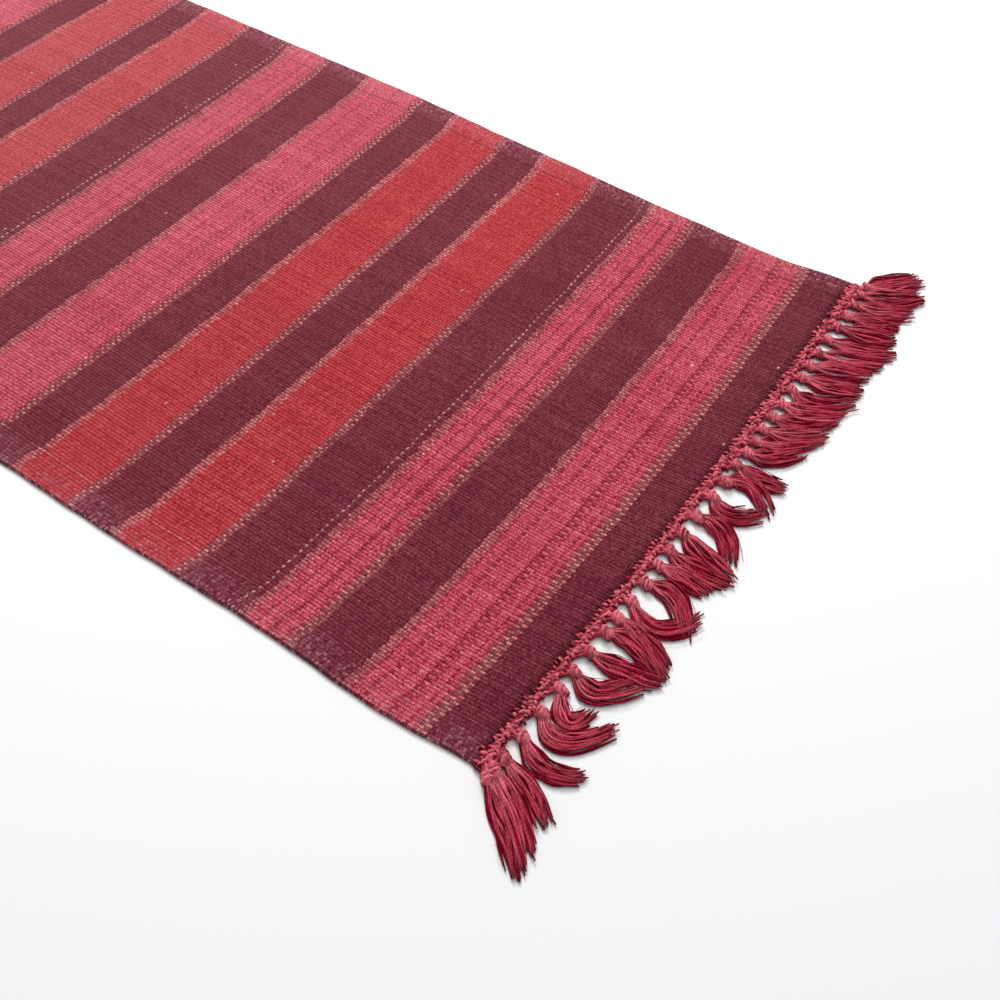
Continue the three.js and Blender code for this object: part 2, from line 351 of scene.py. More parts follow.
def far_tassels():
    """Tassels of the far end: even roots, with a slow sway of the tips from side to side."""
    count = FAR_TASSELS
    i = np.arange(count)
    root = 628 * MM * (i / (count - 1) - 0.5)
    sway = 10 * MM * np.sin(0.45 * i) + 1.5 * MM * np.sin(2.3 * i)
    lie = {"root": root, "knot": root + 0.1 * sway, "tip": root + sway}
    lie["middle"] = root + 0.3 * sway + 2 * MM * np.sin(1.1 * i)
    lie["middle_out"] = np.full(count, 43 * MM)
    lie["tip_out"] = 69 * MM + 4 * MM * np.sin(1.7 * i)
    lie["hook"] = 3 * MM * np.sin(1.9 * i)
    lie["fan"] = np.full(count, 22 * MM)
    return lie


def end_bulge(across):
    """How far the woven end bulges past the corners: a parabola that is zero at the sides."""
    return END_BOW * np.maximum(0, 1 - (2 * across / CLOTH_WIDTH) ** 2)


print("near tassels:", len(NEAR_TASSELS["root"]), "far tassels:", FAR_TASSELS)

# %% [markdown]
# ## The hitched heading
# Before the tassels are tied, each warp is hitched round its neighbour, which locks the last weft in
# place. It shows as a knobbly chain over a cord: small loops whose tops bite into the cloth's last
# wefts like teeth, loops that run along the chain, and loops that go down to the necks.

# %% Stitch the heading
STITCHES = 150
STITCH_SIDES = 6
STITCH_STATIONS = 8
STITCH_RADIUS = 1.5 * MM
BED_STATIONS = 700
BED_SIDES = 10
BED_WIDTH, BED_HEIGHT = 3.4 * MM, 2.3 * MM
BED_OUT, BED_RIPPLE = 3.4 * MM, 5.8 * MM
STITCH_UNEVEN = 0.95 * MM
STITCH_ROWS = [
    {"begin": 2.6, "end": -3.4, "lean": 1.3, "low": 2.0, "arch": 2.2, "swap": True},
    {"begin": -2.2, "end": -5.0, "lean": 5.0, "low": 2.8, "arch": 2.2, "swap": False},
    {"begin": -3.4, "end": -7.8, "lean": 1.8, "low": 2.0, "arch": 2.6, "swap": True},
]


def stitch_paths(left, right, chance):
    """Rows of short arched loops along the woven end: each runs from its begin to its end across
    the chain and leans along it, with a sine arch upwards. Where swap is set, every second one
    leans the other way. All are uneven."""
    share = np.linspace(0, 1, STITCH_STATIONS)[None, :]
    middle = np.linspace(left + 3 * MM, right - 3 * MM, STITCHES)[:, None]
    every_second = np.where(np.arange(STITCHES) % 2, -1, 1)[:, None]
    rows = []
    for row in STITCH_ROWS:
        uneven = chance.normal(0, STITCH_UNEVEN, (5, STITCHES, 1))
        lean = row["lean"] * MM * (every_second if row["swap"] else 1) + 1.2 * uneven[0]
        x = middle + lean * (share - 0.5) + uneven[1]
        y = row["begin"] * MM + uneven[2] + share * ((row["end"] - row["begin"]) * MM + uneven[3])
        z = row["low"] * MM + (row["arch"] * MM + 0.6 * uneven[4]) * np.sin(np.pi * share)
        rows.append(np.stack([x, y - end_bulge(x), z], axis=-1))
    return np.concatenate(rows)


def heading_piece(name, left, right, seed, place):
    """The stitches as tubes that thin at both ends, set in place at their end of the rug."""
    chance = np.random.default_rng(seed)
    paths = stitch_paths(left, right, chance)
    thin = 0.7 + 0.3 * np.sin(np.pi * np.linspace(0, 1, STITCH_STATIONS))
    thick = STITCH_RADIUS * chance.uniform(0.8, 1.2, (len(paths), 1, 1))
    radii = thick * np.broadcast_to(thin[None, :, None], (*paths.shape[:2], STITCH_SIDES))
    return tubes(name, place(paths), radii, chance.uniform(0.2, 1.5, len(paths)))


def bed_piece(name, left, right, place):
    """The cord under the stitches: a wide oval along the woven end with a leaning ripple."""
    x = np.linspace(left + 1 * MM, right - 1 * MM, BED_STATIONS)
    height = np.full_like(x, BED_HEIGHT + FLOOR_CLEARANCE)
    paths = np.stack([x, -end_bulge(x) - BED_OUT, height], axis=-1)
    angle = 2 * np.pi * np.arange(BED_SIDES) / BED_SIDES
    oval = 1 / np.hypot(np.cos(angle) / BED_WIDTH, np.sin(angle) / BED_HEIGHT)
    ripple = 1 + 0.1 * np.cos(2 * np.pi * x[:, None] / BED_RIPPLE - 2 * angle)
    return tubes(name, place(paths[None]), (oval * ripple)[None], np.array([0.2]))


print("loops in a heading:", STITCHES * len(STITCH_ROWS))

# %% [markdown]
# ## The knots
# A handful of warps is drawn together and tied in an overhand knot. From outside that is a fan of
# yarns from the heading, a ball wound with slanting yarns, and a throat where the yarns run free. One
# swept ring makes the neck, the inside of the ball and the throat, a yarn wound round it makes the
# turns that show, and straight yarns make the fan.

# %% Tie the knots
KNOT_OUT = 14.5 * MM
KNOT_STATIONS = 16
KNOT_SIDES = 18
KNOT_RIDGES = 6
KNOT_FLATTEN = 0.2
KNOT_ROOT_OUT = 4 * MM
THROAT_LENGTH = 7 * MM
KNOT_FORM = table("reach radius", [
    (0, 3.2),
    (280, 2.9),
    (460, 4.4),
    (700, 4.9),
    (860, 3.9),
    (1000, 2.2),
])


def knot_middles(lie):
    """Middle of each knot on the floor, out from the woven end."""
    out = -end_bulge(lie["knot"]) - KNOT_OUT
    return np.stack([lie["knot"], out, np.zeros_like(out)], axis=-1)


def knot_axes(lie):
    """Root of each knot in the heading, and the level direction from there through its middle."""
    root = np.stack([lie["root"], -end_bulge(lie["root"]) - KNOT_ROOT_OUT, 0 * lie["root"]], axis=-1)
    out = knot_middles(lie) - root
    return root, out / np.linalg.norm(out, axis=1, keepdims=True)


def knots_piece(name, lie, chance, place):
    """Ridged tubes from root to throat: the radius of the form, a little flat, times 1 plus a
    cosine of ridges for the yarns."""
    root, out = knot_axes(lie)
    reach = np.linspace(0, 1, KNOT_STATIONS)
    length = np.linalg.norm(knot_middles(lie) - root, axis=1) + THROAT_LENGTH
    size = 1 + chance.normal(0, 0.06, (len(root), 1))
    radius = eased(KNOT_FORM, "reach", "radius", reach) * size
    paths = root[:, None] + (reach[None, :] * length[:, None])[..., None] * out[:, None]
    paths[:, :, 2] += radius * (1 - KNOT_FLATTEN) + FLOOR_CLEARANCE
    angle = 2 * np.pi * np.arange(KNOT_SIDES) / KNOT_SIDES
    ridges = (1 + 0.1 * np.cos(KNOT_RIDGES * angle)) * (1 - KNOT_FLATTEN * np.sin(angle) ** 2)
    return tubes(name, place(paths), radius[..., None] * ridges, chance.uniform(0.4, 1.2, len(root)))


print("widest part of a knot:", round(2 * KNOT_FORM["radius"].max() / MM, 1), "mm")

# %% Gather the warps into the knots
GATHER_YARNS = 7
GATHER_STATIONS = 6
GATHER_SIDES = 5
GATHER_RADIUS = 1.2 * MM
GATHER_SPREAD, GATHER_CLOSE = 8.5 * MM, 2.4 * MM
GATHER_LOW, GATHER_RISE = 2.4 * MM, 1.2 * MM


def gathers_piece(name, lie, chance, place):
    """Warps drawn together into each knot: yarns that run from the heading to the knot, with their
    places aside shrinking by an S-curve from the spread to the knot's neck."""
    root, out = knot_axes(lie)
    share = np.linspace(0, 1, GATHER_STATIONS)
    seat = np.linspace(-1, 1, GATHER_YARNS) + chance.normal(0, 0.1, (len(root), GATHER_YARNS))
    aside = seat[..., None] * (GATHER_SPREAD + (GATHER_CLOSE - GATHER_SPREAD) * ease(1.2 * share))
    height = GATHER_LOW + GATHER_RISE * share + np.abs(chance.normal(0, 0.5 * MM, (*seat.shape, 1)))
    reach = 0.9 * (knot_middles(lie) - root)
    paths = root[:, None, None] + share[:, None] * reach[:, None, None]
    paths = paths + aside[..., None] * np.cross(out, UP)[:, None, None] + height[..., None] * UP
    paths = paths.reshape(-1, GATHER_STATIONS, 3)
    radii = np.full((len(paths), GATHER_STATIONS, GATHER_SIDES), GATHER_RADIUS)
    return tubes(name, place(paths), radii, chance.random(len(paths)))


print("gathered warps at the near end:", GATHER_YARNS * len(NEAR_TASSELS["root"]))

# %% Wind a yarn round each knot
WRAP_STATIONS = 40
WRAP_SIDES = 6
WRAP_TURNS = 1.8
WRAP_RADIUS = 2.0 * MM
WRAP_HEIGHT = 4.6 * MM
WRAP_HALF_WIDTH, WRAP_HALF_HEIGHT = 4.4 * MM, 3.7 * MM
WRAP_STEP = 6.5 * MM


def wraps_piece(name, lie, chance, place):
    """A yarn wound round each ball: a circle about the knot's axis that steps along it, and leans
    by a cosine of the turn."""
    _, out = knot_axes(lie)
    side = np.cross(out, UP)
    share = np.linspace(0, 1, WRAP_STATIONS)[None, :, None]
    turn = 2 * np.pi * (WRAP_TURNS * share + chance.random((len(out), 1, 1)))
    lean = chance.uniform(1.4, 3.0, (len(out), 1, 1)) * MM
    bulge = np.sin(np.pi * (0.18 + 0.64 * share))
    middle = knot_middles(lie)[:, None] + WRAP_HEIGHT * UP
    aside = WRAP_HALF_WIDTH * np.cos(turn) * side[:, None]
    paths = middle + bulge * (aside + WRAP_HALF_HEIGHT * np.sin(turn) * UP)
    paths = paths + ((share - 0.45) * WRAP_STEP + lean * np.cos(turn + 0.8)) * out[:, None]
    radii = np.full((len(out), WRAP_STATIONS, WRAP_SIDES), WRAP_RADIUS)
    paths[:, :, 2] = np.maximum(paths[:, :, 2], 1.05 * WRAP_RADIUS)
    return tubes(name, place(paths), radii, chance.uniform(0.5, 1.4, len(out)))


print("turns round a knot:", WRAP_TURNS)

# %% [markdown]
# ## The tassels
# Below its knot a tassel is a handful of loose yarns that fan out, lie close, and close in again at
# the tip, some on the floor and some on the others. Each yarn takes its tassel's path, steps aside by
# its own share of the fan, and adds a wave of its own. Thin wisps of loose fibre lie among them.

# %% Lay the yarns
FLOOR_YARNS = 10
UPPER_YARNS = 10
WISPS = 4
YARN_STATIONS = 12
YARN_SIDES = 5
YARN_RADIUS = 1.22 * MM
THROAT_HALF = 3.0 * MM
TIP_CLOSING = 0.26
TIP_TAPER = 0.45
SLUB = 0.13
FLOOR_LAYER, UPPER_LAYER, WISP_LAYER = 0.1 * MM, 1.9 * MM, 2.2 * MM
WISP_THINNESS = 0.28


def tassel_paths(lie, reach):
    """Quadratic through knot, middle and tip at reach 0, a half and 1, bent aside by the hook."""
    def through(first, middle, last):
        """Quadratic that takes the three values at reach 0, a half and 1."""
        first, middle, last = (p[:, None, None] for p in (first, middle, last))
        start = first * (1 - reach) * (1 - 2 * reach)
        return start + middle * 4 * reach * (1 - reach) + last * reach * (2 * reach - 1)

    knot = knot_middles(lie)
    x = through(lie["knot"], lie["middle"], lie["tip"])
    x = x + lie["hook"][:, None, None] * reach**2 * (reach - 0.75) * 4
    y = through(knot[:, 1], -lie["middle_out"], -lie["tip_out"])
    return np.stack([x, y, np.zeros_like(x)], axis=-1)


def yarn_paths(lie, seats, layer, chance):
    """Paths of the yarns of every tassel: the tassel's path, plus seat times half the fan to its
    side, plus a wave, at the height of its layer and sinking from the knot to the floor."""
    count, yarns = len(lie["knot"]), len(seats)
    shape = (count, yarns, 1)
    longest = 1.02 - 0.07 * seats[None, :, None] ** 2 + chance.uniform(-0.09, 0.04, shape)
    reach = np.linspace(0.04, 1, YARN_STATIONS) * longest
    middle = tassel_paths(lie, reach)
    ahead = np.gradient(middle, axis=2)
    side = np.cross(ahead / np.linalg.norm(ahead, axis=3, keepdims=True), UP)
    seat = (seats[None, :] + chance.normal(0, 0.13, (count, yarns)))[..., None]
    open_fan = ease(reach / 0.36) * (1 - TIP_CLOSING * ease((reach - 0.65) / 0.35))
    half_fan = THROAT_HALF + (lie["fan"][:, None, None] / 2 - THROAT_HALF) * open_fan
    wave = np.sin(2 * np.pi * (chance.uniform(0.9, 1.6, shape) * reach + chance.random(shape)))
    wave = wave * ease(reach / 0.4)
    aside = seat * half_fan + chance.uniform(0.3, 1.9, shape) * MM * wave
    aside += chance.normal(0, 1.0 * MM, shape) * reach**3
    level = layer + np.abs(chance.normal(0, 0.5 * MM, shape)) * ease(reach / 0.3)
    height = 1.25 * YARN_RADIUS + level * (1 - 0.45 * reach) + 2.6 * MM * np.exp(-reach / 0.12)
    paths = middle + aside[..., None] * side + height[..., None] * UP
    return paths.reshape(count * yarns, YARN_STATIONS, 3)


def tassels_piece(name, lie, chance, place):
    """All yarns and wisps of one fringe as tubes with blunt tips."""
    floor = yarn_paths(lie, np.linspace(-1, 1, FLOOR_YARNS), FLOOR_LAYER, chance)
    upper = yarn_paths(lie, np.linspace(-0.75, 0.75, UPPER_YARNS), UPPER_LAYER, chance)
    wisps = yarn_paths(lie, np.linspace(-1, 1, WISPS), WISP_LAYER, chance)
    paths = np.concatenate([floor, upper, wisps])
    taper = 1 - TIP_TAPER * ease((np.linspace(0, 1, YARN_STATIONS) - 0.8) / 0.2)
    thickness = YARN_RADIUS * chance.uniform(0.82, 1.08, len(paths))
    thickness[-len(wisps):] *= WISP_THINNESS
    swelling = np.linspace(0, 9, YARN_STATIONS) + chance.uniform(0, 6, (len(paths), 1))
    slub = 1 + SLUB * np.sin(swelling)
    radii = (thickness[:, None] * taper * slub)[..., None] * np.ones(YARN_SIDES)
    return tubes(name, place(paths), radii, chance.random(len(paths)), fade=1.0)


print("yarns in a tassel:", FLOOR_YARNS + UPPER_YARNS, "and wisps:", WISPS)


# %% Make both fringes
def at_near_end(points):
    """Moves points from the corners' line to the near end of the cloth."""
    return points + np.array([0, END_BOW - CLOTH_LENGTH / 2, 0])


def at_far_end(points):
    """Half a turn about the rug's middle, so the fringe lies at the far end."""
    return at_near_end(points) * np.array([-1, -1, 1])


def fringe(end, lie, left, right, seed, place):
    """The pieces of one fringe, by name."""
    made = {
        "bed": bed_piece(f"{end}_heading_cord", left, right, place),
        "heading": heading_piece(f"{end}_heading_stitches", left, right, seed, place),
        "knots": knots_piece(f"{end}_knots", lie, np.random.default_rng(seed + 1), place),
        "gathers": gathers_piece(f"{end}_gathers", lie, np.random.default_rng(seed + 4), place),
        "wraps": wraps_piece(f"{end}_knot_wraps", lie, np.random.default_rng(seed + 2), place),
        "tassels": tassels_piece(f"{end}_tassels", lie, np.random.default_rng(seed + 3), place),
    }
    print(end, "fringe faces:", {part: len(piece.data.polygons) for part, piece in made.items()})
    return made


NEAR_SEED, FAR_SEED = 11, 71
near_end = np.array([0.0])
far_end = np.array([CLOTH_LENGTH])
near_fringe = fringe(
    "near", NEAR_TASSELS, left_side(near_end)[0], right_side(near_end)[0], NEAR_SEED, at_near_end
)
far_fringe = fringe(
    "far", far_tassels(), -right_side(far_end)[0], -left_side(far_end)[0], FAR_SEED, at_far_end
)

# %% [markdown]
# ## Dyes and nodes
# The dyes are named from the wool, in the 8-bit values that paint programs show, and turned
# into the linear light that the renderer works in. Small helpers keep the node code readable: one
# adds a node and feeds its inputs, some do sums, one mixes two colours.

# %% Helpers for colours and nodes
def dye(red, green, blue):
    """Linear colour of 8-bit values: the sRGB curve undone."""
    value = np.array([red, green, blue]) / 255
    low = value <= 0.04045
    linear = np.where(low, value / 12.92, ((value + 0.055) / 1.055) ** 2.4)
    return (*linear.tolist(), 1.0)


def feed(tree, made, place, value):
    """Gives an input of a node a socket to link or a value to hold. None leaves it."""
    if isinstance(value, bpy.types.NodeSocket):
        tree.links.new(value, made.inputs[place])
    elif value is not None:
        made.inputs[place].default_value = value


def put(tree, kind, inputs=(), **settings):
    """Adds a node with its settings, and feeds its inputs in order."""
    made = tree.nodes.new(kind)
    for name, value in settings.items():
        setattr(made, name, value)
    for place, value in enumerate(inputs):
        feed(tree, made, place, value)
    return made


def calc(tree, operation, *values):
    """One sum as a node."""
    return put(tree, "ShaderNodeMath", values, operation=operation).outputs[0]


def scaled(tree, value, by, plus):
    """A value times a factor, plus a start."""
    return calc(tree, "MULTIPLY_ADD", value, by, plus)


def half_wave(tree, share):
    """Half a sine wave: 0 at the shares 0 and 1, and 1 between them."""
    return calc(tree, "SINE", calc(tree, "MULTIPLY", share, math.pi))


def mixed(tree, share, first, second):
    """Colour between two colours."""
    made = put(tree, "ShaderNodeMix", data_type="RGBA")
    for place, value in ((0, share), (6, first), (7, second)):
        feed(tree, made, place, value)
    return made.outputs[2]


def chance_of(tree, *parts):
    """A fixed random number for each cell that the parts number."""
    cell = put(tree, "ShaderNodeCombineXYZ", parts).outputs[0]
    return put(tree, "ShaderNodeTexWhiteNoise", [cell], noise_dimensions="3D").outputs["Value"]


def centred(tree, value, spread):
    """A random number from 0 to 1 made into one around 0."""
    return calc(tree, "MULTIPLY", calc(tree, "SUBTRACT", value, 0.5), spread)


def in_shade(tree, colour, shade, richer):
    """A colour times a shade. Wool in shade also looks richer, so the saturation falls as the shade
    rises, and is unchanged at a shade of three quarters."""
    richness = scaled(tree, shade, -richer, 1 + 0.75 * richer)
    kept = calc(tree, "MAXIMUM", shade, 0.04)
    return put(tree, "ShaderNodeHueSaturation", [0.5, richness, kept, 1.0, colour]).outputs[0]


def thread_map(tree):
    """The thread map of a piece, whole and split into its two numbers."""
    threads = put(tree, "ShaderNodeUVMap", uv_map="threads").outputs["UV"]
    split = put(tree, "ShaderNodeSeparateXYZ", [threads])
    return threads, split.outputs[0], split.outputs[1]


def emboss(tree, shader, height, strength, distance):
    """Fine relief that is too small for the mesh, as a bump of a given height."""
    bump = put(tree, "ShaderNodeBump")
    for place, value in (("Strength", strength), ("Distance", distance), ("Height", height)):
        feed(tree, bump, place, value)
    tree.links.new(bump.outputs[0], shader.inputs["Normal"])


def wool(name):
    """A new material with the soft, matte shader that all the wool shares."""
    made = bpy.data.materials.new(name)
    made.use_nodes = True
    shader = made.node_tree.nodes["Principled BSDF"]
    shader.inputs["Roughness"].default_value = 0.88
    shader.inputs["Specular IOR Level"].default_value = 0.18
    shader.inputs["Sheen Weight"].default_value = 0.22
    shader.inputs["Sheen Roughness"].default_value = 0.45
    shader.inputs["Sheen Tint"].default_value = dye(255, 214, 214)
    return made, made.node_tree, shader


print("a mid grey of 128 is", round(dye(128, 128, 128)[0], 3), "in linear light")

# %% [markdown]
# ## The weaver's chart
# The ground is plum, and the light bands are a list: where each starts, how wide it is, and its yarn,
# in millimetres from the near end. Each is edged with narrow lines where a pale weft takes turns with
# a dark one. Wefts of one turn show on every second rib only, so on the near side, where the turns
# are swapped halfway, the line is a chequer of two rows. On the far side the pale wefts lie close and
# make a soft band. A lone pale weft makes a row of dots in two of the plum bands.

# %% Chart the stripes
PICK = 1.0
LINE_WIDTH = 9.3
ROSE, BRICK = 1.0, 0.0
LIGHT_BANDS = table("start width yarn", [
    (47.3, 62.7, ROSE),
    (177.5, 41.0, ROSE),
    (298.2, 62.4, BRICK),
    (422.3, 62.4, BRICK),
    (544.6, 68.8, ROSE),
    (684.4, 47.4, ROSE),
    (814.0, 59.2, BRICK),
    (931.0, 62.0, BRICK),
    (1053.5, 64.5, ROSE),
    (1189.0, 56.0, ROSE),
], unit=1)
DOT_ROWS = (233.2, 746.2)
STREAK_SHARES = (0.03, 0.12, 0.32, 0.345, 0.375, 0.40, 0.74, 0.77, 0.97)
BEFORE_ALL = 5000.0
PLUM_DYE, ROSE_DYE, BRICK_DYE = dye(124, 36, 53), dye(211, 74, 93), dye(193, 46, 55)
DEEP_ROSE_DYE, DOT_DYE = dye(146, 18, 42), dye(240, 184, 178)
TAN_DYE, MAUVE_DYE, DUSTY_DYE = dye(240, 142, 138), dye(216, 110, 117), dye(228, 120, 119)


def last_passed(tree, place, starts, values):
    """Value of the last start that a place has passed: each start adds the step to its value."""
    running, before = BEFORE_ALL, BEFORE_ALL
    for start, value in zip(starts.tolist(), values.tolist()):
        passed = calc(tree, "GREATER_THAN", place, start)
        running = scaled(tree, passed, value - before, running)
        before = value
    return running


def between(tree, value, low, high):
    """1 from low to high, and 0 outside."""
    return calc(tree, "COMPARE", value, (low + high) / 2, (high - low) / 2)


def product(tree, *values):
    """All values multiplied."""
    made = values[0]
    for value in values[1:]:
        made = calc(tree, "MULTIPLY", made, value)
    return made


plum_share = 1 - LIGHT_BANDS["width"].sum() * MM / CLOTH_LENGTH
print("light bands:", len(LIGHT_BANDS["start"]), "plum share:", round(plum_share, 2))

# %% [markdown]
# ## The weave
# In plain weave a weft goes over every second warp, and the next weft goes over the others. So each
# rib is a stack of beads, two wefts long, and neighbouring ribs are offset by one weft. The material
# works out from the thread map which rib, bead and weft a point is on, asks the chart for that
# weft's colour, and varies it by weft, rib and bead, as hand-dyed wool does.

# %% Number the threads
WEFT_WAVER, RIB_WAVER = 3.2, 0.8


def thread_cells(tree):
    """Numbers of the rib, bead and weft at a point, the shares across the rib and along the bead,
    and the weft's distance along the cloth. The beat of the wefts wavers a little, rib by rib."""
    threads, warp, run = thread_map(tree)
    rib = calc(tree, "FLOOR", warp)
    cell = {"warp": warp, "rib": rib, "across": calc(tree, "FRACT", warp)}
    cell["odd"] = calc(tree, "MODULO", rib, 2.0)
    slow = put(tree, "ShaderNodeVectorMath", [threads, (0.11, 0.05, 0)], operation="MULTIPLY")
    waver = put(tree, "ShaderNodeTexNoise", [slow.outputs[0], None, 1.0, 2.0], noise_dimensions="2D")
    along = calc(tree, "ADD", run, centred(tree, waver.outputs[0], WEFT_WAVER))
    along = calc(tree, "ADD", along, centred(tree, chance_of(tree, rib, 9.0), RIB_WAVER))
    stack = scaled(tree, along, 0.5 / PICK, calc(tree, "MULTIPLY", cell["odd"], -0.5))
    cell["bead"], cell["within"] = calc(tree, "FLOOR", stack), calc(tree, "FRACT", stack)
    cell["weft"] = scaled(tree, cell["bead"], 2.0, cell["odd"])
    cell["along"] = scaled(tree, cell["weft"], PICK, PICK)
    return cell


# %% Colour the stripes
def worn_of(tree, cell):
    """How much of a bead's own colour is left, from 0.2 to 0.85."""
    return scaled(tree, chance_of(tree, cell["bead"], cell["rib"], 1.0), 0.65, 0.2)


def lively_of(tree, cell, at_back):
    """Contrast of the threads: full at the near end, and softer towards the far end."""
    return put(tree, "ShaderNodeMapRange", [cell["along"], 150.0, 650.0, 1.0, at_back]).outputs[0]


def stripe_colour(tree, cell):
    """Dye of the weft at a point: plum ground, light bands with streaks, and pale lines. Also tells
    whether the point is in a light band, in a rose one, and in the pale line on its far side."""
    region = LIGHT_BANDS["start"] - LINE_WIDTH
    near = calc(tree, "SUBTRACT", cell["along"], last_passed(tree, cell["along"], region, region))
    ends = LIGHT_BANDS["start"] + LIGHT_BANDS["width"]
    far = calc(tree, "SUBTRACT", cell["along"], last_passed(tree, cell["along"], region, ends))
    is_rose = last_passed(tree, cell["along"], region, LIGHT_BANDS["yarn"])
    past_line = calc(tree, "GREATER_THAN", near, LINE_WIDTH)
    in_band = calc(tree, "MULTIPLY", past_line, calc(tree, "LESS_THAN", far, 0.0))

    width = calc(tree, "SUBTRACT", calc(tree, "SUBTRACT", near, far), LINE_WIDTH)
    streak = calc(tree, "GREATER_THAN", chance_of(tree, cell["weft"], 13.0), 0.95)
    for share in STREAK_SHARES:
        row = scaled(tree, width, share, LINE_WIDTH)
        streak = calc(tree, "MAXIMUM", streak, calc(tree, "COMPARE", near, row, 0.55 * PICK))
    patchy = scaled(tree, chance_of(tree, cell["bead"], cell["rib"], 3.0), 0.35, 0.7)
    patchy = product(tree, patchy, lively_of(tree, cell, 0.5))
    light = mixed(tree, is_rose, BRICK_DYE, ROSE_DYE)
    light = mixed(tree, product(tree, streak, is_rose, patchy), light, DEEP_ROSE_DYE)
    colour = mixed(tree, in_band, PLUM_DYE, light)

    worn = worn_of(tree, cell)
    first = product(tree, between(tree, near, 0.9, 4.0), calc(tree, "SUBTRACT", 1.0, cell["odd"]))
    second = product(tree, between(tree, near, 5.0, 8.1), cell["odd"])
    crest = half_wave(tree, cell["across"])
    rows = product(tree, calc(tree, "ADD", first, second), calc(tree, "POWER", crest, 1.6))
    steady = scaled(tree, worn, 0.6, 0.34)
    in_rows = [calc(tree, "COMPARE", cell["along"], row, PICK / 2) for row in DOT_ROWS]
    dots = calc(tree, "MAXIMUM", *in_rows)
    tinge = product(tree, between(tree, near, 0.0, LINE_WIDTH), worn, 0.28)
    colour = mixed(tree, scaled(tree, rows, steady, tinge), colour, TAN_DYE)
    colour = mixed(tree, product(tree, dots, steady, 0.8), colour, DOT_DYE)
    pale = mixed(tree, is_rose, DUSTY_DYE, MAUVE_DYE)
    ragged = calc(tree, "ADD", far, centred(tree, chance_of(tree, cell["rib"], 21.0), 0.8))
    in_far_line = between(tree, ragged, -0.6, 6.8)
    by_rib = chance_of(tree, cell["rib"], 22.0)
    showing = scaled(tree, by_rib, 0.25, product(tree, worn, 0.8))
    colour = mixed(tree, product(tree, in_far_line, showing), colour, pale)
    return colour, in_band, calc(tree, "MULTIPLY", in_band, is_rose), in_far_line


# %% Work the selvedges and flecks
SPECKLE_DYE, FLECK_DYE = dye(214, 146, 160), dye(240, 190, 186)
PALE_RIB_DYE, DARK_RIB_DYE = dye(226, 160, 164), dye(64, 16, 28)
FLECK_RARITY = 0.9997


def edged_colour(tree, cell, colour, in_band):
    """The stripes' colour with the selvedges' pale speckle, the pale and the dark rib that border
    them, and the few pale flecks of stray fibre."""
    border = RIBS / 2 - SELVEDGE_RIBS
    from_middle = calc(tree, "ABSOLUTE", calc(tree, "SUBTRACT", cell["warp"], RIBS / 2))
    in_selvedge = calc(tree, "GREATER_THAN", from_middle, border)
    speckle = calc(tree, "POWER", chance_of(tree, cell["bead"], cell["rib"], 2.0), 2.5)
    outer = put(tree, "ShaderNodeMapRange", [from_middle, border, RIBS / 2, 0.12, 0.5]).outputs[0]
    colour = mixed(tree, product(tree, in_selvedge, speckle, outer), colour, SPECKLE_DYE)
    pale_rib = product(tree, between(tree, from_middle, border - 0.75, border - 0.35), speckle)
    pale_rib = product(tree, pale_rib, scaled(tree, in_band, 0.4, 0.15))
    colour = mixed(tree, pale_rib, colour, PALE_RIB_DYE)
    at_right = calc(tree, "GREATER_THAN", cell["warp"], RIBS / 2)
    dark_rib = between(tree, from_middle, border - 0.25, border + 0.3)
    dark_rib = product(tree, dark_rib, worn_of(tree, cell))
    dark_rib = product(tree, dark_rib, scaled(tree, at_right, 0.4, 0.1))
    colour = mixed(tree, dark_rib, colour, DARK_RIB_DYE)
    by_bead = chance_of(tree, cell["bead"], cell["rib"], 7.0)
    fleck = calc(tree, "GREATER_THAN", by_bead, FLECK_RARITY)
    return mixed(tree, product(tree, fleck, 0.55), colour, FLECK_DYE)


# %% Vary the tone
def thread_tone(tree, cell, in_rose, in_brick):
    """Shade of the wool around 1: slow clouds, fine fibre, and a chance for each weft, rib and bead,
    calmer in the light bands."""
    where = put(tree, "ShaderNodeTexCoord").outputs["Object"]
    cloud = put(tree, "ShaderNodeTexNoise", [where, None, 9.0, 4.0])
    fibre = put(tree, "ShaderNodeTexNoise", [where, None, 900.0, 2.0])
    tone = calc(tree, "ADD", centred(tree, cloud.outputs[0], 0.4), centred(tree, fibre.outputs[0], 2.7))
    by_weft, by_rib, by_bead = (cell["weft"], 3.0), (cell["rib"], 5.0), (cell["bead"], cell["rib"])
    for parts, spread in ((by_weft, 0.2), (by_rib, 0.2), (by_bead, 0.38)):
        tone = calc(tree, "ADD", tone, centred(tree, chance_of(tree, *parts), spread))
    calmer = scaled(tree, in_rose, -0.15, 1.0)
    calmer = scaled(tree, in_brick, -0.25, calmer)
    lively = product(tree, lively_of(tree, cell, 0.75), calmer)
    return scaled(tree, tone, lively, 1.0)


# %% Weave the material
# Colour of the painted sheen and highlight, and where the painted sheen over the far end begins, ends
# and how strong it gets.
PAINTED_SHEEN_DYE = dye(236, 190, 196)
FAR_SHEEN_FROM, FAR_SHEEN_TO, FAR_SHEEN_MOST = 350.0, 950.0, 0.085


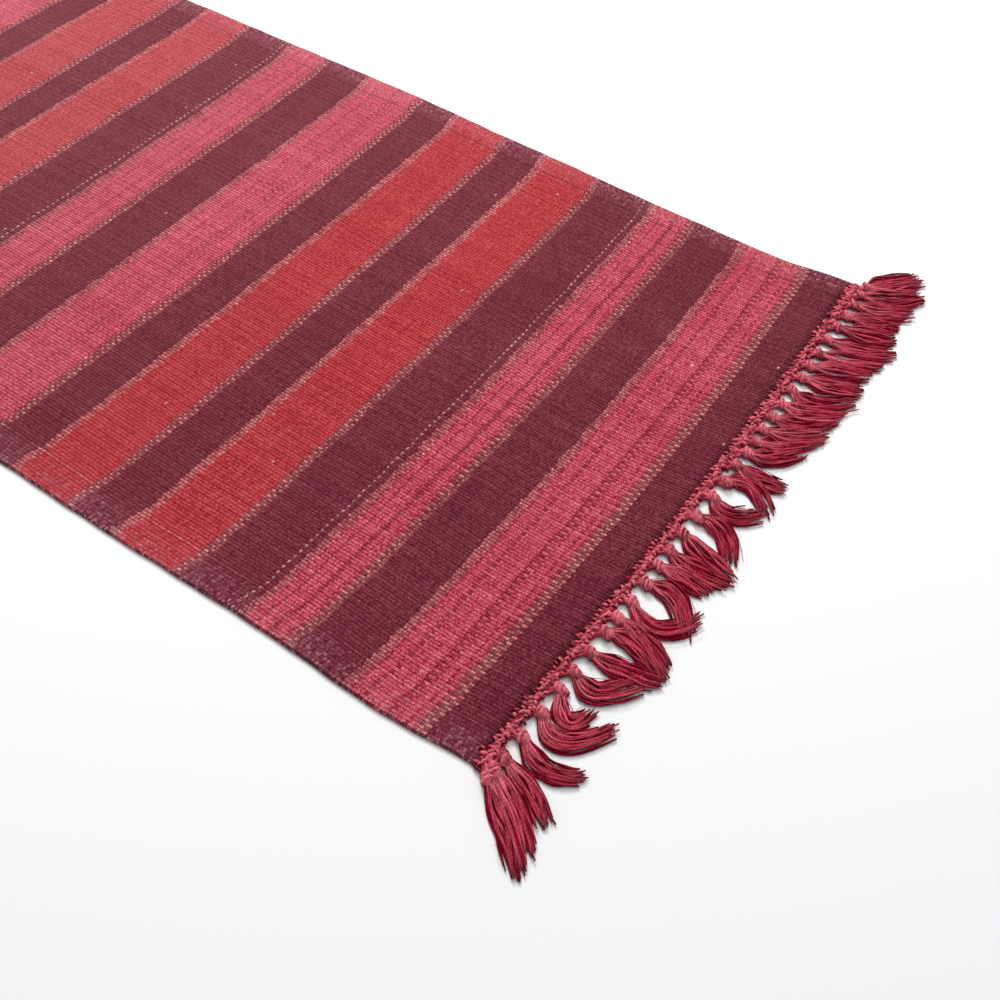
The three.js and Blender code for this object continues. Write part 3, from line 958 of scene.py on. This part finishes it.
def weave_material():
    """The woven face: the stripes' colour, a painted highlight on the crowns of the beads, a painted
    sheen towards the far end, the thread's own tone, and painted shade where the point lies deep."""
    made, tree, shader = wool("striped_weave")
    cell = thread_cells(tree)
    colour, in_band, in_rose, in_far_line = stripe_colour(tree, cell)
    in_brick = calc(tree, "SUBTRACT", in_band, in_rose)
    colour = edged_colour(tree, cell, colour, in_band)
    tone = thread_tone(tree, cell, in_rose, in_brick)

    arch = half_wave(tree, cell["within"])
    rounding = half_wave(tree, cell["across"])
    crown = calc(tree, "POWER", product(tree, arch, rounding), 0.8)
    # Painted sheen and highlight: the colour turns paler towards the far end, and paler on the crowns
    # of the beads.
    far_sheen = put(tree, "ShaderNodeMapRange", [cell["along"], FAR_SHEEN_FROM, FAR_SHEEN_TO, 0.0, FAR_SHEEN_MOST])
    far_sheen.interpolation_type = "SMOOTHSTEP"
    painted_sheen = scaled(tree, calc(tree, "POWER", crown, 2.0), 0.1, far_sheen.outputs[0])
    painted_sheen = calc(tree, "MULTIPLY", painted_sheen, scaled(tree, in_band, 0.75, 0.25))
    colour = mixed(tree, painted_sheen, colour, PAINTED_SHEEN_DYE)
    # Painted shade and highlight: the colour is darker in the grooves between ribs and the gaps between
    # beads, lighter on their crowns, and more so in the pale far lines.
    painted_shade_depth = scaled(tree, in_rose, 0.08, scaled(tree, in_far_line, 0.4, 0.3))
    painted_shade_depth = scaled(tree, in_brick, -0.1, painted_shade_depth)
    relief = scaled(tree, rounding, 0.2, scaled(tree, crown, 0.8, -0.51))
    shade = product(tree, tone, scaled(tree, relief, painted_shade_depth, 0.70))
    tree.links.new(in_shade(tree, colour, shade, 0.34), shader.inputs["Base Color"])

    emboss(tree, shader, product(tree, arch, rounding), 0.45, 0.6 * MM)
    return made


cloth.data.materials.append(weave_material())
print("weave nodes:", len(cloth.data.materials[0].node_tree.nodes))

# %% [markdown]
# ## Yarn
# Fringe yarn is plied: two strands turn about each other, and the groove between them runs as a
# screw. The tubes' thread map gives the distance along and the turn around, so the groove is a sine of
# their sum. Each yarn has its own tone, and the tips are paler where the dye has worn.

# %% Dye the yarns
# Heights between which the yarn goes from painted shade near the floor to a painted highlight on top.
PAINTED_SHADE_BELOW, PAINTED_LIGHT_ABOVE = 1.0 * MM, 5.4 * MM


def yarn_material(name, deep, light, tip_colour, ply):
    """Plied wool between a deep and a light dye, with worn tips, painted shade low down and in the ply
    groove, and a painted highlight on the highest parts.
    """
    made, tree, shader = wool(name)
    threads, run, turn = thread_map(tree)
    tone = put(tree, "ShaderNodeAttribute", attribute_name="tone").outputs["Fac"]
    tip = put(tree, "ShaderNodeAttribute", attribute_name="tip").outputs["Fac"]
    where = put(tree, "ShaderNodeTexCoord").outputs["Object"]
    cloud = put(tree, "ShaderNodeTexNoise", [where, None, 160.0, 3.0])
    share = scaled(tree, tone, 0.5, calc(tree, "MULTIPLY", cloud.outputs[0], 0.5))
    long = put(tree, "ShaderNodeVectorMath", [threads, (0.07, 5.0, 0)], operation="MULTIPLY")
    apart = put(tree, "ShaderNodeCombineXYZ", [calc(tree, "MULTIPLY", tone, 91.0)])
    long = put(tree, "ShaderNodeVectorMath", [apart.outputs[0], long.outputs[0]], operation="ADD")
    fibres = put(tree, "ShaderNodeTexNoise", [long.outputs[0], None, 1.0, 2.0], noise_dimensions="2D")
    share = calc(tree, "ADD", share, centred(tree, fibres.outputs[0], 2.6))
    colour = mixed(tree, share, deep, light)
    worn = calc(tree, "MULTIPLY", calc(tree, "POWER", tip, 8.0), 0.45)
    colour = mixed(tree, worn, colour, tip_colour)
    screw = scaled(tree, run, 1 / ply, calc(tree, "MULTIPLY", turn, 2.0))
    groove = calc(tree, "ABSOLUTE", half_wave(tree, screw))
    # Painted shade and highlight: darker in the screw groove between the plies, darker near the floor
    # and lighter on the highest parts, such as the tops of the knots.
    height = put(tree, "ShaderNodeSeparateXYZ", [where]).outputs[2]
    painted_light = put(tree, "ShaderNodeMapRange", [height, PAINTED_SHADE_BELOW, PAINTED_LIGHT_ABOVE, 0.12, 1.04])
    shade = calc(tree, "MULTIPLY", scaled(tree, groove, 0.18, 0.84), painted_light.outputs[0])
    tree.links.new(in_shade(tree, colour, shade, 0.5), shader.inputs["Base Color"])
    shader.inputs["Sheen Weight"].default_value = 0.0
    shader.inputs["Specular IOR Level"].default_value = 0.03
    emboss(tree, shader, groove, 0.35, 0.4 * MM)
    return made


YARN_DEEP, YARN_LIGHT, YARN_TIP = dye(102, 3, 18), dye(228, 80, 106), dye(214, 130, 136)
PLY_LENGTH = 3.2
crimson = yarn_material("fringe_yarn", YARN_DEEP, YARN_LIGHT, YARN_TIP, PLY_LENGTH)
print("yarn nodes:", len(crimson.node_tree.nodes))

# %% Dye the selvedge cords
CORD_DARK, CORD_PALE = dye(66, 26, 42), dye(214, 160, 172)
CORD_TURN = 1.7


def cord_material():
    """Selvedge cord: a dark wrapping with the colour of the band's wefts showing through it."""
    made, tree, shader = wool("selvedge_yarn")
    _, run, turn = thread_map(tree)
    turns = calc(tree, "FLOOR", scaled(tree, run, 1 / CORD_TURN, turn))
    cell = {"along": run, "weft": turns, "bead": turns, "rib": 2.0, "odd": 0.0, "across": 0.5}
    weft = stripe_colour(tree, cell)[0]
    showing = calc(tree, "MULTIPLY", chance_of(tree, turns, 4.0), 0.6)
    colour = mixed(tree, showing, CORD_DARK, weft)
    pale = calc(tree, "POWER", chance_of(tree, turns, 6.0), 5.0)
    colour = mixed(tree, calc(tree, "MULTIPLY", pale, 0.45), colour, CORD_PALE)
    tree.links.new(colour, shader.inputs["Base Color"])
    return made


cords.data.materials.append(cord_material())
for piece in (*near_fringe.values(), *far_fringe.values()):
    piece.data.materials.append(crimson)
print("materials:", [m.name for m in bpy.data.materials if m.users])

# %% [markdown]
# ## Floor, light and camera
# The floor is plain and pale. Light is soft and comes from all round, with a broad panel overhead and
# a smaller one at the right, past the far end, that shows the ribs and gives the tassels their
# shadows. The camera stands where the stripes and the edges line up with the picture: its place was
# worked out in units of a little under the cloth's width.

# %% Set the stage
FLOOR_HALF = 6.0
FLOOR_WHITE = (0.92, 0.92, 0.92, 1)
AIM = (0, -0.2, 0)
AMBIENT_LIGHT = 0.4


def floor_piece():
    """A flat square floor with a matte, nearly white finish."""
    half = FLOOR_HALF
    mesh = bpy.data.meshes.new("floor")
    corners = [(-half, -half, 0), (half, -half, 0), (half, half, 0), (-half, half, 0)]
    mesh.from_pydata(corners, [], [(0, 1, 2, 3)])
    made, _, shader = wool("pale_floor")
    shader.inputs["Base Color"].default_value = FLOOR_WHITE
    shader.inputs["Sheen Weight"].default_value = 0.0
    mesh.materials.append(made)
    return link("floor", mesh)


def soft_box(name, place, aim, size, power):
    """A square area light at a place, turned to face its aim."""
    light = bpy.data.lights.new(name, "AREA")
    light.size = size
    light.energy = power
    made = bpy.data.objects.new(name, light)
    made.location = place
    made.rotation_euler = (Vector(aim) - Vector(place)).to_track_quat("-Z", "Y").to_euler()
    bpy.context.scene.collection.objects.link(made)
    return made


floor_piece()
soft_box("far_window", (1.5, 1.0, 1.9), AIM, size=1.0, power=62)
soft_box("top_panel", (0.6, -0.4, 2.6), AIM, size=2.4, power=26)
world = bpy.data.worlds.new("soft_light")
world.use_nodes = True
background = world.node_tree.nodes["Background"]
background.inputs["Color"].default_value = (1, 1, 1, 1)
background.inputs["Strength"].default_value = AMBIENT_LIGHT
bpy.context.scene.world = world
bpy.context.scene.view_settings.view_transform = "Standard"
print("lights:", [light.name for light in bpy.data.lights])

# %% Place the camera
CAMERA_UNIT = 640 * MM
CAMERA_PLACE = (-1.0288, -0.3767, 1.2836)
CAMERA_RIGHT = Vector((0.57351, -0.81903, 0.01635))
CAMERA_DOWN = Vector((-0.63220, -0.45520, -0.62699))
FOCAL_SHARE = 1.2301


def photo_camera():
    """Camera from its place in camera units and its right and down directions in the picture."""
    data = bpy.data.cameras.new("camera")
    data.sensor_width = 36
    data.lens = 36 * FOCAL_SHARE
    data.clip_start = 0.01
    made = bpy.data.objects.new("camera", data)
    bpy.context.scene.collection.objects.link(made)
    back = -CAMERA_RIGHT.cross(CAMERA_DOWN)
    turn = Matrix((CAMERA_RIGHT, -CAMERA_DOWN, back)).transposed()
    corner = Vector((0, END_BOW - CLOTH_LENGTH / 2, CLOTH_THICKNESS))
    made.matrix_world = Matrix.Translation(corner + CAMERA_UNIT * Vector(CAMERA_PLACE)) @ turn.to_4x4()
    return made


bpy.context.scene.camera = photo_camera()
print("camera at", [round(v, 3) for v in bpy.context.scene.camera.location])

# %% [markdown]
# ## Seat the pieces on the frame
# The rug has no joints, so every piece rides on the one body. The cloth and the cords stand for
# the woven solid, and each fringe for its own.

# %% Ride and replace
def seat(piece, node, slot):
    """A piece rides on the rug and stands for its solid, which is hidden; slot is not used."""
    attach(piece, "root")
    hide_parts(node)


seat(cloth, "woven_cloth", "striped_weave")
seat(cords, "woven_cloth", "striped_weave")
for piece in near_fringe.values():
    seat(piece, "near_fringe", "fringe_yarn")
for piece in far_fringe.values():
    seat(piece, "far_fringe", "fringe_yarn")
